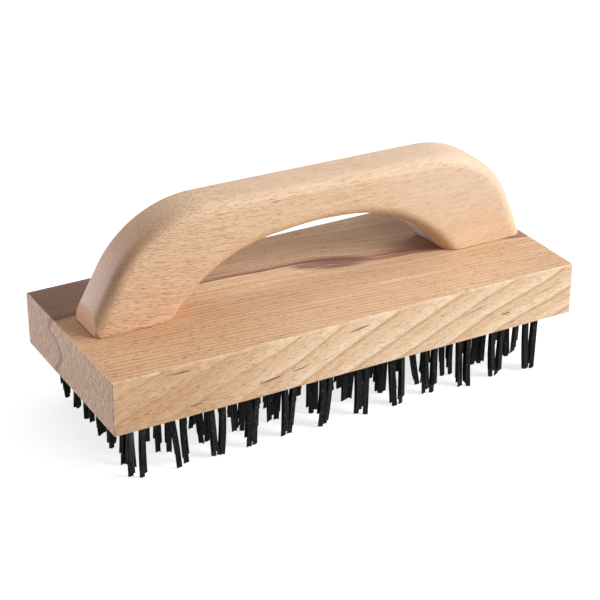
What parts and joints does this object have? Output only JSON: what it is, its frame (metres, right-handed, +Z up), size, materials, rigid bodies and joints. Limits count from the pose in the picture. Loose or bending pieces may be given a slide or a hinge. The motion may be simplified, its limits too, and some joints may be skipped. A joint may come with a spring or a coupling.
{
  "type": "grill brush",
  "caption": "Hand brush for cleaning a grill: a thick wooden block, an arched wooden handle on two feet and rows of stiff flat steel wire tufts underneath.",
  "frame": {"origin": "on the ground under the middle of the block, at the level of the wire tips", "axes": "+X along the block and the handle, +Y to the back, +Z up"},
  "size_m": [0.22, 0.09, 0.0996],
  "materials": {
    "block_wood": "planed raw hardwood, straight grain along the block, end grain on the ends",
    "handle_wood": "sanded raw beech with short dark flecks, edges rounded over",
    "wire_steel": "blue-black oil-tempered flat wire, satin",
    "screw_steel": "zinc-plated wood screw"
  },
  "bodies": {
    "root": {"block": "block_wood", "handle": "handle_wood", "screw_left": "screw_steel", "screw_right": "screw_steel", "wire_tufts_row1_pair1": "wire_steel", "wire_tufts_row1_pair2": "wire_steel", "wire_tufts_row1_pair3": "wire_steel", "wire_tufts_row1_pair4": "wire_steel", "wire_tufts_row1_pair5": "wire_steel", "wire_tufts_row1_pair6": "wire_steel", "wire_tufts_row2_pair1": "wire_steel", "wire_tufts_row2_pair2": "wire_steel", "wire_tufts_row2_pair3": "wire_steel", "wire_tufts_row2_pair4": "wire_steel", "wire_tufts_row2_pair5": "wire_steel", "wire_tufts_row2_pair6": "wire_steel", "wire_tufts_row3_pair1": "wire_steel", "wire_tufts_row3_pair2": "wire_steel", "wire_tufts_row3_pair3": "wire_steel", "wire_tufts_row3_pair4": "wire_steel", "wire_tufts_row3_pair5": "wire_steel", "wire_tufts_row3_pair6": "wire_steel", "wire_tufts_row4_pair1": "wire_steel", "wire_tufts_row4_pair2": "wire_steel", "wire_tufts_row4_pair3": "wire_steel", "wire_tufts_row4_pair4": "wire_steel", "wire_tufts_row4_pair5": "wire_steel", "wire_tufts_row4_pair6": "wire_steel", "wire_tufts_row5_pair1": "wire_steel", "wire_tufts_row5_pair2": "wire_steel", "wire_tufts_row5_pair3": "wire_steel", "wire_tufts_row5_pair4": "wire_steel", "wire_tufts_row5_pair5": "wire_steel", "wire_tufts_row5_pair6": "wire_steel", "wire_tufts_row6_pair1": "wire_steel", "wire_tufts_row6_pair2": "wire_steel", "wire_tufts_row6_pair3": "wire_steel", "wire_tufts_row6_pair4": "wire_steel", "wire_tufts_row6_pair5": "wire_steel", "wire_tufts_row6_pair6": "wire_steel", "wire_tufts_row7_pair1": "wire_steel", "wire_tufts_row7_pair2": "wire_steel", "wire_tufts_row7_pair3": "wire_steel", "wire_tufts_row7_pair4": "wire_steel", "wire_tufts_row7_pair5": "wire_steel", "wire_tufts_row7_pair6": "wire_steel"}
  },
  "joints": []
}
